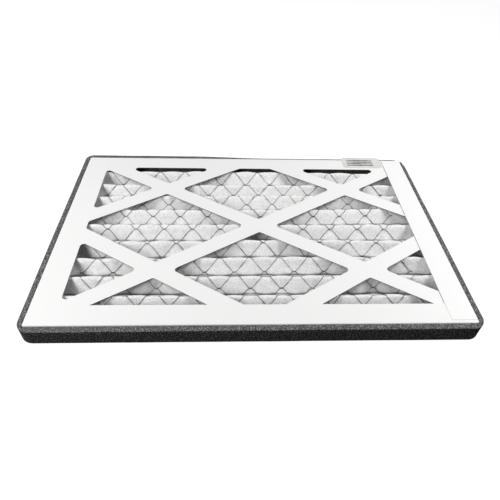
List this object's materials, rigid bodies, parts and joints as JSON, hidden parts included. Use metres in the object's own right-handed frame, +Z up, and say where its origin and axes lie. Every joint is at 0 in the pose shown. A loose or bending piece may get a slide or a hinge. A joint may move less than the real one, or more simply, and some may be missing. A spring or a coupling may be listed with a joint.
{
  "type": "pleated panel air filter",
  "caption": "Flat pleated air filter panel in a die-cut board frame with diagonal lattice faces, a wire support grid and a foam edge strip.",
  "frame": {"origin": "middle of the underside, on the surface the filter lies on", "axes": "+X along the long side, +Y along the short side towards the labelled end, +Z up through the outlet face"},
  "size_m": [0.464, 0.312, 0.0205],
  "materials": {
    "board": "matte",
    "media": "matte",
    "grid": "satin",
    "foam": "matte",
    "label": "matte"
  },
  "bodies": {
    "root": {"outlet_frame_half": "board", "inlet_frame_half": "board", "pleated_media": "media", "wire_grid": "grid", "foam_gasket": "foam", "label": "label"}
  },
  "joints": []
}
